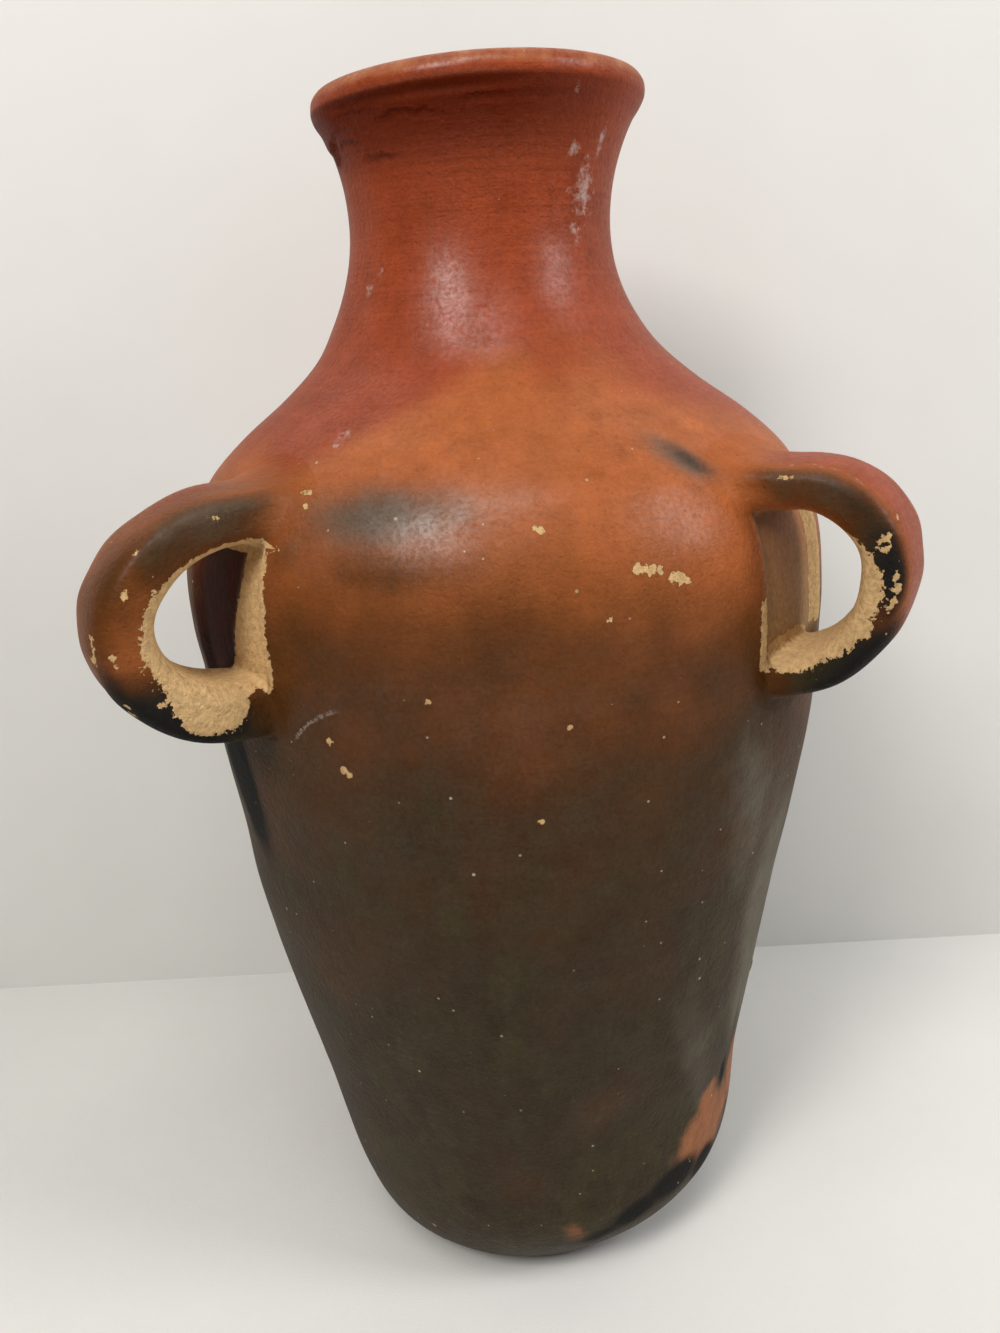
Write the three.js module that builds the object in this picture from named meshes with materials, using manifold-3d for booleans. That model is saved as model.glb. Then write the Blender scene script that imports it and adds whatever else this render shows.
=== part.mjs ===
// Handled pottery vase, in millimetres, +Z up, standing on its base.
// Its origin is at the centre of the flat underside.
// It is hand built of coils: a base slab, ten courses of wall, a rolled rim and two strap handles.
// Each member that the potter makes and joins is a solid of its own, with a thin seam between neighbours.
import * as THREE from "three";
import { mergeVertices } from "three/addons/utils/BufferGeometryUtils.js";
import Module from "manifold-3d";

const wasm = await Module();
wasm.setup();

// Heights of the members, from the floor up, measured on the outside between seams.
const SLAB_EDGE_HEIGHT = 14;
const HEEL_HEIGHT = 36;
const FOOT_HEIGHT = 42;
const LOWER_WALL_HEIGHT = 44;
const UPPER_WALL_HEIGHT = 44;
const LOWER_BELLY_HEIGHT = 45;
const BELLY_HEIGHT = 45;
const SHOULDER_HEIGHT = 40;
const CLOSING_HEIGHT = 32;
const NECK_HEIGHT = 42;
const FLARE_HEIGHT = 40;
const RIM_HEIGHT = 16;

// Outside radii, and how far each one that isn't at a seam lies above the seam below it.
// The wall draws in from its widest girth by one amount to the seam under the belly and by another to the
// seam over the shoulder.
const FLAT_RADIUS = 54;
const HEEL_REACH = 28;
const HEEL_RISE = 34;
const FOOT_TOP_RADIUS = 92.6;
const WIDEST_RADIUS = 117;
const WIDEST_RISE = 41;
const DRAWN_IN_UNDER_BELLY = 9.6;
const DRAWN_IN_OVER_SHOULDER = 9.5;
const CLOSING_TOP_RADIUS = 74;
const NECK_ROOT_RADIUS = 53;
const NECK_ROOT_RISE = 24;
const THROAT_RADIUS = 45.8;
const THROAT_RISE = 50;
const FLARE_TOP_RADIUS = 51;
const LIP_OVERHANG = 5; // how far the lip stands out past the top of the flare

// Clay thicknesses, and the bevelled seams where one member laps over the one below.
const WALL_THICKNESS = 9;
const SLAB_THICKNESS = 12;
const LIP_THICKNESS = 12;
const SEAM_LAP = 8;
const SEAM_GAP = 0.4;
const DISH_BEVEL = 1; // between the slab's floor and its upturned edge

// Strap handles. Each stands forward of the side, and its loop is turned a little back from square to
// the wall.
const HANDLE_FORWARD_ANGLE = 39.5; // degrees in front of the sides
const HANDLE_TURN = 9.5; // degrees
const HANDLE_ABOVE_SEAM = 12.5; // middle of the handle above the seam of belly and shoulder
const FINGER_GAP = 24;
const HOLE_HEIGHT = 43.5;
const STRAP_WIDTH = 35.5;
const STRAP_ROOT_WIDTH = 40;
const STRAP_THICKNESS = 17;
const STRAP_EDGE_RADIUS = 7.5;
const ROOT_DEPTH = 30; // how far the strap is carried inwards before the wall trims it
const LUTING_GAP = 0.3;

// Wads of clay smeared round the ends of the straps, to lute them to the wall.
const UPPER_WAD = { spread: 7, reach: 14 };
const LOWER_WAD = { spread: 5, reach: 9 };
const WAD_EDGE = 1;

// Facets.
const ROUND_SIDES = 48;
const SLAB_STEPS = 6;
const HEEL_STEPS = 4;
const FOOT_STEPS = 2;
const WALL_STEPS = 2;
const BELLY_STEPS = 2;
const SHOULDER_STEPS = 4;
const CLOSING_STEPS = 4;
const NECK_STEPS = 5;
const FLARE_STEPS = 4;
const CORE_STEPS = 40;
const CLEARANCE_STEPS = 160;
const LIP_STEPS = 9;
const HANDLE_STEPS = 26;
const WAD_STEPS = 12;
const CORNER_STEPS = 3;

// Colours of the fired clay.
const RED_SLIP = new THREE.MeshStandardMaterial({ color: 0x9a4426, roughness: 0.5, metalness: 0 });
const ORANGE_SLIP = new THREE.MeshStandardMaterial({ color: 0x9c4f24, roughness: 0.52, metalness: 0 });
const SMOKED_SLIP = new THREE.MeshStandardMaterial({ color: 0x4a3426, roughness: 0.55, metalness: 0 });
const BUFF_CLAY = new THREE.MeshStandardMaterial({ color: 0xb08a58, roughness: 0.85, metalness: 0 });

// Heights of the seams above the floor.
const SLAB_SEAM = SLAB_EDGE_HEIGHT;
const HEEL_SEAM = SLAB_SEAM + HEEL_HEIGHT;
const FOOT_SEAM = HEEL_SEAM + FOOT_HEIGHT;
const LOWER_WALL_SEAM = FOOT_SEAM + LOWER_WALL_HEIGHT;
const UPPER_WALL_SEAM = LOWER_WALL_SEAM + UPPER_WALL_HEIGHT;
const LOWER_BELLY_SEAM = UPPER_WALL_SEAM + LOWER_BELLY_HEIGHT;
const BELLY_SEAM = LOWER_BELLY_SEAM + BELLY_HEIGHT;
const SHOULDER_SEAM = BELLY_SEAM + SHOULDER_HEIGHT;
const CLOSING_SEAM = SHOULDER_SEAM + CLOSING_HEIGHT;
const NECK_SEAM = CLOSING_SEAM + NECK_HEIGHT;
const FLARE_SEAM = NECK_SEAM + FLARE_HEIGHT;
const RIM_TOP = FLARE_SEAM + RIM_HEIGHT;

// The outside of the wall as a line of radius and height: a rounded heel, then one smooth curve to the rim.
const HEEL_END_ANGLE = -Math.PI / 18;
const wallLine = new THREE.Path();
wallLine.absellipse(FLAT_RADIUS, HEEL_RISE, HEEL_REACH, HEEL_RISE, -Math.PI / 2, HEEL_END_ANGLE, false);
wallLine.splineThru([
  new THREE.Vector2(FOOT_TOP_RADIUS, FOOT_SEAM),
  new THREE.Vector2(WIDEST_RADIUS - DRAWN_IN_UNDER_BELLY, UPPER_WALL_SEAM),
  new THREE.Vector2(WIDEST_RADIUS, LOWER_BELLY_SEAM + WIDEST_RISE),
  new THREE.Vector2(WIDEST_RADIUS - DRAWN_IN_OVER_SHOULDER, SHOULDER_SEAM),
  new THREE.Vector2(CLOSING_TOP_RADIUS, CLOSING_SEAM),
  new THREE.Vector2(NECK_ROOT_RADIUS, CLOSING_SEAM + NECK_ROOT_RISE),
  new THREE.Vector2(THROAT_RADIUS, CLOSING_SEAM + THROAT_RISE),
  new THREE.Vector2(FLARE_TOP_RADIUS, FLARE_SEAM),
]);
const WALL_LENGTH = wallLine.getLength();

// Distance along the wall line at which it reaches a height.
function reachOf(height) {
  let low = 0;
  let high = WALL_LENGTH;
  for (let i = 0; i < 30; i++) {
    const middle = (low + high) / 2;
    if (wallLine.getPointAt(middle / WALL_LENGTH).y < height) low = middle;
    else high = middle;
  }
  return low;
}

// A point at a distance along the wall line, moved outwards by an offset.
// Past the line's end it runs straight on.
function wallPoint(reach, offset = 0) {
  const share = Math.min(reach / WALL_LENGTH, 1);
  const point = wallLine.getPointAt(share);
  const along = wallLine.getTangentAt(share);
  point.addScaledVector(along, Math.max(reach - WALL_LENGTH, 0));
  return point.add(new THREE.Vector2(along.y, -along.x).multiplyScalar(offset));
}

// Points of the wall line between two distances along it.
function wallStretch(from, to, offset, steps) {
  return Array.from({ length: steps + 1 }, (_, i) => wallPoint(from + ((to - from) * i) / steps, offset));
}

// A profile of radius and height turned about the vertical axis.
function turn(profile) {
  return new THREE.LatheGeometry(profile, ROUND_SIDES).rotateX(Math.PI / 2);
}

// A course of wall between two seams.
// Its inner edges stand higher than its outer ones, so it laps the course below.
function course(fromHeight, toHeight, steps) {
  const from = reachOf(fromHeight) + SEAM_GAP / 2;
  const to = reachOf(toHeight) - SEAM_GAP / 2;
  const outside = wallStretch(from, to, 0, steps);
  const inside = wallStretch(to + SEAM_LAP, from + SEAM_LAP, -WALL_THICKNESS, steps);
  return turn([...outside, ...inside, outside[0]]);
}

// The base slab: a flat disc whose upturned edge carries the first course.
function baseSlab() {
  const seam = reachOf(SLAB_SEAM) - SEAM_GAP / 2;
  const outside = wallStretch(0, seam, 0, SLAB_STEPS);
  const edge = wallStretch(seam + SEAM_LAP, 0, -WALL_THICKNESS, 2 * SLAB_STEPS);
  const inside = edge.filter((point) => point.y > SLAB_THICKNESS + DISH_BEVEL);
  const dishEdge = inside[inside.length - 1].x - DISH_BEVEL;
  return turn([
    new THREE.Vector2(0, 0),
    ...outside,
    ...inside,
    new THREE.Vector2(dishEdge, SLAB_THICKNESS),
    new THREE.Vector2(0, SLAB_THICKNESS),
  ]);
}

// The rim: the neck's flare carried up into a lip rolled over to the outside.
function rimRoll() {
  const start = reachOf(FLARE_SEAM) + SEAM_GAP / 2;
  const outer = wallPoint(start);
  const inner = wallPoint(start + SEAM_LAP, -WALL_THICKNESS);
  const lipRadius = LIP_THICKNESS / 2;
  const lipMiddle = FLARE_TOP_RADIUS + LIP_OVERHANG - lipRadius;
  const lip = new THREE.EllipseCurve(
    lipMiddle, RIM_TOP - lipRadius, lipRadius, lipRadius, -Math.PI / 5, Math.PI, false,
  );
  return turn([outer, ...lip.getPoints(LIP_STEPS), inner, outer]);
}

// A closed geometry as a solid that can be cut.
function solid(geometry) {
  const bare = geometry.clone();
  bare.deleteAttribute("normal");
  bare.deleteAttribute("uv");
  const merged = mergeVertices(bare, 1e-4);
  return new wasm.Manifold(new wasm.Mesh({
    numProp: 3,
    vertProperties: merged.attributes.position.array,
    triVerts: new Uint32Array(merged.index.array),
  }));
}

// A cut solid as a geometry again.
function geometryOf(cut) {
  const mesh = cut.getMesh();
  const geometry = new THREE.BufferGeometry();
  geometry.setAttribute("position", new THREE.BufferAttribute(new Float32Array(mesh.vertProperties), 3));
  geometry.setIndex(new THREE.BufferAttribute(new Uint32Array(mesh.triVerts), 1));
  geometry.computeVertexNormals();
  return geometry;
}

// How far a point of radius and height stands clear of the wall's outside. Inside the wall it is nothing.
const wallMarks = wallStretch(0, WALL_LENGTH, 0, CLEARANCE_STEPS);
function clearOfWall(point) {
  const level = wallMarks.reduce((a, b) => (Math.abs(b.y - point.y) < Math.abs(a.y - point.y) ? b : a));
  if (point.x <= level.x) return 0;
  return Math.min(...wallMarks.map((mark) => mark.distanceTo(point)));
}

// All that lies within the wall's outside, grown by the luting gap, as seen from a loop turned by an angle.
function wallCore(angle) {
  const grown = wallStretch(reachOf(FOOT_SEAM), WALL_LENGTH, LUTING_GAP, CORE_STEPS);
  const core = [new THREE.Vector2(0, grown[0].y), ...grown, new THREE.Vector2(0, grown[grown.length - 1].y)];
  return solid(turn(core).rotateZ(-angle));
}

// The middle line of a handle in its own upright plane: out from the wall, round the finger gap and back in.
const HANDLE_MIDDLE = BELLY_SEAM + HANDLE_ABOVE_SEAM;
const TURN_ANGLE = THREE.MathUtils.degToRad(HANDLE_TURN);
const WALL_AT_HANDLE = wallPoint(reachOf(HANDLE_MIDDLE)).x;
const ROOT_OUT = WALL_AT_HANDLE * Math.cos(TURN_ANGLE);
const ROOT_FORWARD = WALL_AT_HANDLE * Math.sin(TURN_ANGLE);
const HANDLE_RISE = (HOLE_HEIGHT + STRAP_THICKNESS) / 2;
const HANDLE_REACH = FINGER_GAP + STRAP_THICKNESS / 2;
const handleLine = new THREE.Path();
handleLine.moveTo(ROOT_OUT - ROOT_DEPTH, HANDLE_MIDDLE - HANDLE_RISE);
handleLine.lineTo(ROOT_OUT, HANDLE_MIDDLE - HANDLE_RISE);
handleLine.absellipse(ROOT_OUT, HANDLE_MIDDLE, HANDLE_REACH, HANDLE_RISE, -Math.PI / 2, Math.PI / 2, false);
handleLine.lineTo(ROOT_OUT - ROOT_DEPTH, HANDLE_MIDDLE + HANDLE_RISE);
const HANDLE_LENGTH = handleLine.getLength();

// The strap's cross-section, its edges rounded, of unit half width and half thickness.
function strapSection() {
  const section = new THREE.Shape();
  const rx = STRAP_EDGE_RADIUS / (STRAP_WIDTH / 2);
  const ry = STRAP_EDGE_RADIUS / (STRAP_THICKNESS / 2);
  const corners = [[1, 1], [-1, 1], [-1, -1], [1, -1]];
  corners.forEach(([sx, sy], quarter) => {
    const start = (quarter * Math.PI) / 2;
    section.absellipse(sx * (1 - rx), sy * (1 - ry), rx, ry, start, start + Math.PI / 2, false);
  });
  return section;
}

// A bar of the strap's section bent along the handle's line from one length to another.
// grow gives how much is added all round at a point, from its distance clear of the wall.
// forward is 1 where the vase's front lies on the loop's left as seen from above, and -1 on its right.
function bentBar(from, to, steps, forward, grow) {
  const bar = new THREE.ExtrudeGeometry(strapSection(), {
    depth: 1, steps, bevelEnabled: false, curveSegments: CORNER_STEPS,
  });
  const position = bar.attributes.position;
  const across = forward * ROOT_FORWARD;
  for (let i = 0; i < position.count; i++) {
    const share = (from + (to - from) * position.getZ(i)) / HANDLE_LENGTH;
    const point = handleLine.getPointAt(share);
    const along = handleLine.getTangentAt(share);
    const root = Math.abs(2 * share - 1) ** 3;
    const halfWidth = THREE.MathUtils.lerp(STRAP_WIDTH, STRAP_ROOT_WIDTH, root) / 2;
    const place = (added) => {
      const out = position.getY(i) * (STRAP_THICKNESS / 2 + added);
      const side = position.getX(i) * (halfWidth + added);
      return new THREE.Vector3(point.x + along.y * out, across - side, point.y - along.x * out);
    };
    const bare = place(0);
    const grown = place(grow(clearOfWall(new THREE.Vector2(Math.hypot(bare.x, bare.y), bare.z))));
    position.setXYZ(i, grown.x, grown.y, grown.z);
  }
  return bar;
}

function strapHandle(angle, forward) {
  const strap = solid(bentBar(0, HANDLE_LENGTH, HANDLE_STEPS, forward, () => 0));
  return geometryOf(strap.subtract(wallCore(angle)));
}

// A wad of clay round one end of the strap, thick against the wall and feathered out along the strap.
function lutingWad(angle, forward, from, to, { spread, reach }) {
  const flare = (clear) => WAD_EDGE + spread * Math.max(0, 1 - clear / reach) ** 2;
  const wad = solid(bentBar(from, to, WAD_STEPS, forward, flare));
  const strap = solid(bentBar(0, HANDLE_LENGTH, HANDLE_STEPS, forward, () => LUTING_GAP));
  return geometryOf(wad.subtract(strap).subtract(wallCore(angle)));
}

const vase = new THREE.Group();

function add(name, geometry, material, parent = vase) {
  const mesh = new THREE.Mesh(geometry, material);
  mesh.name = name;
  parent.add(mesh);
}

add("base_slab", baseSlab(), SMOKED_SLIP);
add("heel_course", course(SLAB_SEAM, HEEL_SEAM, HEEL_STEPS), SMOKED_SLIP);
add("foot_course", course(HEEL_SEAM, FOOT_SEAM, FOOT_STEPS), SMOKED_SLIP);
add("lower_wall_course", course(FOOT_SEAM, LOWER_WALL_SEAM, WALL_STEPS), SMOKED_SLIP);
add("upper_wall_course", course(LOWER_WALL_SEAM, UPPER_WALL_SEAM, WALL_STEPS), SMOKED_SLIP);
add("lower_belly_course", course(UPPER_WALL_SEAM, LOWER_BELLY_SEAM, BELLY_STEPS), SMOKED_SLIP);
add("belly_course", course(LOWER_BELLY_SEAM, BELLY_SEAM, BELLY_STEPS), ORANGE_SLIP);
add("shoulder_course", course(BELLY_SEAM, SHOULDER_SEAM, SHOULDER_STEPS), ORANGE_SLIP);
add("closing_course", course(SHOULDER_SEAM, CLOSING_SEAM, CLOSING_STEPS), ORANGE_SLIP);
add("neck_collar", course(CLOSING_SEAM, NECK_SEAM, NECK_STEPS), RED_SLIP);
add("neck_flare", course(NECK_SEAM, FLARE_SEAM, FLARE_STEPS), RED_SLIP);
add("rim_roll", rimRoll(), RED_SLIP);

// Each handle's loop is built out along X and turned to its side with its group.
const LOOP_ANGLE = THREE.MathUtils.degToRad(HANDLE_FORWARD_ANGLE - HANDLE_TURN);
const UPPER_END = HANDLE_LENGTH - ROOT_DEPTH - UPPER_WAD.reach;
const LOWER_END = ROOT_DEPTH + LOWER_WAD.reach;
for (const [side, angle, forward] of [["right", -LOOP_ANGLE, -1], ["left", Math.PI + LOOP_ANGLE, 1]]) {
  const handle = new THREE.Group();
  handle.rotation.z = angle;
  const upperWad = lutingWad(angle, forward, UPPER_END, HANDLE_LENGTH, UPPER_WAD);
  const lowerWad = lutingWad(angle, forward, 0, LOWER_END, LOWER_WAD);
  add(`${side}_handle_strap`, strapHandle(angle, forward), SMOKED_SLIP, handle);
  add(`${side}_handle_upper_wad`, upperWad, ORANGE_SLIP, handle);
  add(`${side}_handle_lower_wad`, lowerWad, BUFF_CLAY, handle);
  vase.add(handle);
}

export default vase;
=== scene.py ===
import math

import bmesh
import bpy
import numpy as np
from mathutils import Matrix, Vector


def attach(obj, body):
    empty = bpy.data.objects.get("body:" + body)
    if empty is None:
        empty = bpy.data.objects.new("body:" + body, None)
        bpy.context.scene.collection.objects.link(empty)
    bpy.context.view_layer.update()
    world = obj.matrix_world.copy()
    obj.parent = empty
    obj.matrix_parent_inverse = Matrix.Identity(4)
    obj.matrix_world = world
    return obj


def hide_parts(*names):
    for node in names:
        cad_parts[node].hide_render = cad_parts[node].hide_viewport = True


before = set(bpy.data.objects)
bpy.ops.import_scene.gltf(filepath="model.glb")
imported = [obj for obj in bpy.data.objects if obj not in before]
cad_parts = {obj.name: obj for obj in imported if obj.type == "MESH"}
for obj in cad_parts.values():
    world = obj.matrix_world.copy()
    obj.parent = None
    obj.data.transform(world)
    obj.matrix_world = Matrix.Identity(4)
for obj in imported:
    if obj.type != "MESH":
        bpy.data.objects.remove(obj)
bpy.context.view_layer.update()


# The camera and the room.
# The jar stands on a pale cloth-covered table before a pale backdrop, seen from a little above by a phone
# camera held 0.4 m from its axis. A soft lamp stands to the left, a wider one to the right and one overhead.
MM = 0.001
LENS = 29.09
CAMERA_AT = (0.0, -0.4060, 0.3674)
LOOK_DOWN = 0.3173
LOOK_ASIDE = -0.0102
TILT = -0.0608
SENSOR_WIDTH = 36
NEAR_LIMIT = 0.01
LAMPS_LOOK_AT = (0, 0, 0.28)
ROOM_SIZE = 6
BACKDROP_AT = 0.15
CLOTH = (0.83, 0.82, 0.785, 1)
FADED_CLOTH = (0.77, 0.76, 0.725, 1)
CLOTH_CLOUD = 90


class Signal:
    """A number, colour or direction that changes over a surface. Sums and products of it add Math nodes."""

    def __init__(self, recipe, socket):
        self.recipe = recipe
        self.socket = socket

    def __add__(self, other):
        return self.recipe.number("ADD", self, other)

    def __sub__(self, other):
        return self.recipe.number("SUBTRACT", self, other)

    def __rsub__(self, other):
        return self.recipe.number("SUBTRACT", other, self)

    def __mul__(self, other):
        return self.recipe.number("MULTIPLY", self, other)

    __radd__ = __add__
    __rmul__ = __mul__


SHEEN = 0.05
COAT_ROUGHNESS = 0.34


class Recipe:
    """A material, built up from nodes."""

    def __init__(self, name):
        self.material = bpy.data.materials.new(name)
        self.material.use_nodes = True
        self.tree = self.material.node_tree
        self.tree.nodes.clear()

    def make(self, kind, sockets, settings=None, output=0):
        """Any node, from its type, the values or signals of its sockets and its settings."""
        node = self.tree.nodes.new("ShaderNode" + kind)
        for key, value in (settings or {}).items():
            setattr(node, key, value)
        for key, value in sockets.items():
            if isinstance(value, Signal):
                self.tree.links.new(value.socket, node.inputs[key])
            else:
                node.inputs[key].default_value = value
        return Signal(self, node.outputs[output])

    def number(self, operation, *values):
        return self.make("Math", dict(enumerate(values)), {"operation": operation})

    def blend(self, share, first, second):
        """A colour between two, by the share of the second."""
        return self.make("Mix", {0: share, 6: first, 7: second}, {"data_type": "RGBA"}, 2)

    def step(self, low, high, value):
        """0 where the value is below low, 1 above high and a smooth rise between."""
        return self.make("MapRange", {0: value, 1: low, 2: high}, {"interpolation_type": "SMOOTHSTEP"})

    def place(self, stretch=(1, 1, 1)):
        """The surface's own place in millimetres, divided by how far a pattern is stretched each way."""
        where = self.make("TexCoord", {}, None, "Object")
        scale = [1000 / s for s in stretch]
        return self.make("VectorMath", {0: where, 1: scale}, {"operation": "MULTIPLY"})

    def grain(self, where, size, detail=2, roughness=0.5):
        """Cloudy noise from 0 to 1 with lumps of about a size."""
        sockets = {"Vector": where, "Scale": 1 / size, "Detail": detail, "Roughness": roughness}
        return self.make("TexNoise", sockets)

    def finish(self, colour, roughness, height=None, polish=0):
        """Ends the material. Its relief is in millimetres, and its polish lies over it like a coat."""
        surface = {"Base Color": colour, "Roughness": roughness, "Specular IOR Level": SHEEN,
                   "Coat Weight": polish, "Coat Roughness": COAT_ROUGHNESS}
        if height is not None:
            surface["Normal"] = self.make("Bump", {"Strength": 1, "Distance": MM, "Height": height})
        shader = self.make("BsdfPrincipled", surface)
        self.make_output(shader)
        return self.material

    def make_output(self, shader):
        output = self.tree.nodes.new("ShaderNodeOutputMaterial")
        self.tree.links.new(shader.socket, output.inputs["Surface"])


def mesh_object(name, bm, material):
    """A smooth shaded object at the origin from a bmesh."""
    mesh = bpy.data.meshes.new(name)
    bm.to_mesh(mesh)
    bm.free()
    mesh.polygons.foreach_set("use_smooth", [True] * len(mesh.polygons))
    mesh.materials.append(material)
    made = bpy.data.objects.new(name, mesh)
    bpy.context.scene.collection.objects.link(made)
    return made


def photo_camera():
    """The camera at the photo's place, its axes built from its turn, its downward look and its tilt."""
    yaw, pitch, roll = LOOK_ASIDE, LOOK_DOWN, TILT
    right = Vector((math.cos(yaw), -math.sin(yaw), 0))
    up = Vector((math.sin(yaw) * math.sin(pitch), math.cos(yaw) * math.sin(pitch), math.cos(pitch)))
    ahead = Vector((math.sin(yaw) * math.cos(pitch), math.cos(yaw) * math.cos(pitch), -math.sin(pitch)))
    right, up = right * math.cos(roll) + up * math.sin(roll), up * math.cos(roll) - right * math.sin(roll)
    data = bpy.data.cameras.new("camera")
    data.lens = LENS
    data.sensor_width = SENSOR_WIDTH
    data.clip_start = NEAR_LIMIT
    camera = bpy.data.objects.new("camera", data)
    place = Matrix((right, up, -ahead)).transposed().to_4x4()
    place.translation = CAMERA_AT
    camera.matrix_world = place
    bpy.context.scene.collection.objects.link(camera)
    bpy.context.scene.camera = camera


def lamp(name, azimuth, elevation, distance, wide, tall, power, colour=(1, 1, 1)):
    """A soft lamp that looks at the jar's shoulder. Azimuth 0 is on the camera's side."""
    a, e = math.radians(azimuth), math.radians(elevation)
    back = Vector((math.sin(a) * math.cos(e), -math.cos(a) * math.cos(e), math.sin(e)))
    data = bpy.data.lights.new(name, "AREA")
    data.shape = "RECTANGLE"
    data.size, data.size_y = wide, tall
    data.energy = power
    data.color = colour
    made = bpy.data.objects.new(name, data)
    made.location = Vector(LAMPS_LOOK_AT) + back * distance
    made.rotation_euler = (-back).to_track_quat("-Z", "Y").to_euler()
    bpy.context.scene.collection.objects.link(made)


photo_camera()
lamp("key_lamp", -29, 41, 1.3, 0.34, 0.46, 9.2, (1.0, 0.97, 0.94))
lamp("side_lamp", 70, 31, 1.4, 0.4, 0.6, 9, (0.98, 0.98, 1.0))
lamp("top_lamp", -4, 62, 1.4, 0.8, 0.6, 6.5)

world = bpy.data.worlds.new("room")
world.use_nodes = True
world.node_tree.nodes["Background"].inputs["Color"].default_value = (0.95, 0.97, 1.0, 1)
world.node_tree.nodes["Background"].inputs["Strength"].default_value = 0.07
bpy.context.scene.world = world
bpy.context.scene.view_settings.view_transform = "Standard"

weave = Recipe("pale_cloth")
thread = weave.grain(weave.place(), 0.8, 2)
cloud = weave.grain(weave.place(), CLOTH_CLOUD, 3)
cloth = weave.finish(weave.blend(cloud, CLOTH, FADED_CLOTH), 0.95, thread * 0.12)
bm = bmesh.new()
bmesh.ops.create_grid(bm, x_segments=1, y_segments=1, size=ROOM_SIZE)
floor = mesh_object("floor", bm, cloth)
bm = bmesh.new()
upright = Matrix.Rotation(math.pi / 2, 4, "X")
bmesh.ops.create_grid(bm, x_segments=1, y_segments=1, size=ROOM_SIZE, matrix=upright)

# The backdrop's cloth shows from the front only, so that it never hides the jar from behind.
hanging = Recipe("hanging_cloth")
cloud = hanging.grain(hanging.place(), CLOTH_CLOUD, 3)
hung = hanging.make("BsdfDiffuse", {"Color": hanging.blend(cloud, CLOTH, FADED_CLOTH)})
clear = hanging.make("BsdfTransparent", {})
behind = hanging.make("NewGeometry", {}, None, "Backfacing")
hanging.make_output(hanging.make("MixShader", {0: behind, 1: hung, 2: clear}))
backdrop = mesh_object("backdrop", bm, hanging.material)
backdrop.location = (0, BACKDROP_AT, 0)


# The fired clay that all the pieces share.
# Coarse buff clay under a thin iron slip, rubbed shiny before it was fired in an open fire. The slip came out
# brick red where air reached it, orange where it thinned, and brown to black where the smoke lay.
def through(heights, values):
    """A smooth curve through points, as a function of height."""
    heights, values = np.asarray(heights, float), np.asarray(values, float)
    slopes = np.gradient(values, heights)

    def curve(z):
        z = np.clip(z, heights[0], heights[-1])
        i = np.clip(np.searchsorted(heights, z) - 1, 0, len(heights) - 2)
        span = heights[i + 1] - heights[i]
        t = (z - heights[i]) / span
        a = values[i] * (1 + 2 * t) * (1 - t) ** 2 + values[i + 1] * t * t * (3 - 2 * t)
        return a + span * (slopes[i] * t * (1 - t) ** 2 + slopes[i + 1] * t * t * (t - 1))

    return curve


BRICK = (0.27, 0.046, 0.012, 1)
# Painted shade: the dark red laid under the lip, in the creases and behind the left handle.
PAINTED_SHADE_RED = (0.11, 0.014, 0.003, 1)
ORANGE = (0.44, 0.118, 0.031, 1)
RUSSET = (0.22, 0.066, 0.016, 1)
UMBER = (0.084, 0.026, 0.0035, 1)
SMOKED = (0.055, 0.029, 0.0095, 1)
DARK = (0.036, 0.023, 0.0095, 1)
OLIVE = (0.046, 0.033, 0.010, 1)
ASH = (0.135, 0.115, 0.082, 1)
CLOUD = (0.110, 0.080, 0.055, 1)
# Soot, whose black is also painted shade in the groove under the lip and behind the left handle.
SOOT_AND_SHADE = (0.014, 0.0125, 0.011, 1)
FLAME = (0.33, 0.120, 0.045, 1)
BUFF = (0.68, 0.44, 0.205, 1)
INNER = (0.17, 0.082, 0.042, 1)
CHALK = (0.62, 0.52, 0.47, 1)
LIME = (0.55, 0.46, 0.32, 1)
SHADED_BUFF = (0.4488, 0.2904, 0.1353, 1)
MIDDLE = 0.5
LIME_EVERY = 5
PITS_EVERY = 3.4

# Places where the slip flaked off to the buff clay: azimuth in degrees, height and radius in millimetres.
FLAKES = (
    (5.5, 308.6, 1.4), (4.8, 309.6, 0.8), (19.4, 296.3, 1.4), (20.4, 295.8, 1.6), (21.5, 295.2, 1.5),
    (22.6, 294.6, 1.3), (25.0, 292.4, 1.7), (26.1, 291.6, 1.7), (27.1, 290.8, 1.3), (-37.5, 315.9, 1.2),
    (-33.4, 316.3, 1.1), (-27.4, 236.9, 1.5), (-26.6, 235.8, 1.1), (14.4, 283.5, 0.7), (3.3, 221.7, 0.8),
    (-29.2, 246.2, 0.8), (-36.5, 304, 0.7), (-12, 262, 0.8), (8, 252, 0.7), (-33, 23, 1.0),
)

# A pale scratch, part of a ring of a radius round a centre, as far as its reach from its middle.
SCRATCH = dict(centre=(-19, 213), radius=47, middle=(-31.5, 250), reach=13)

# Creases that the folded lip left in the neck, sunk in relief and darkened with painted shade: azimuth and
# height of the middle, and half the length.
CREASES = ((-68, 421, 5), (-57, 420, 9), (-41, 415.5, 9), (-48, 427.5, 12), (-25, 425, 14), (3, 428, 9))


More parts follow.
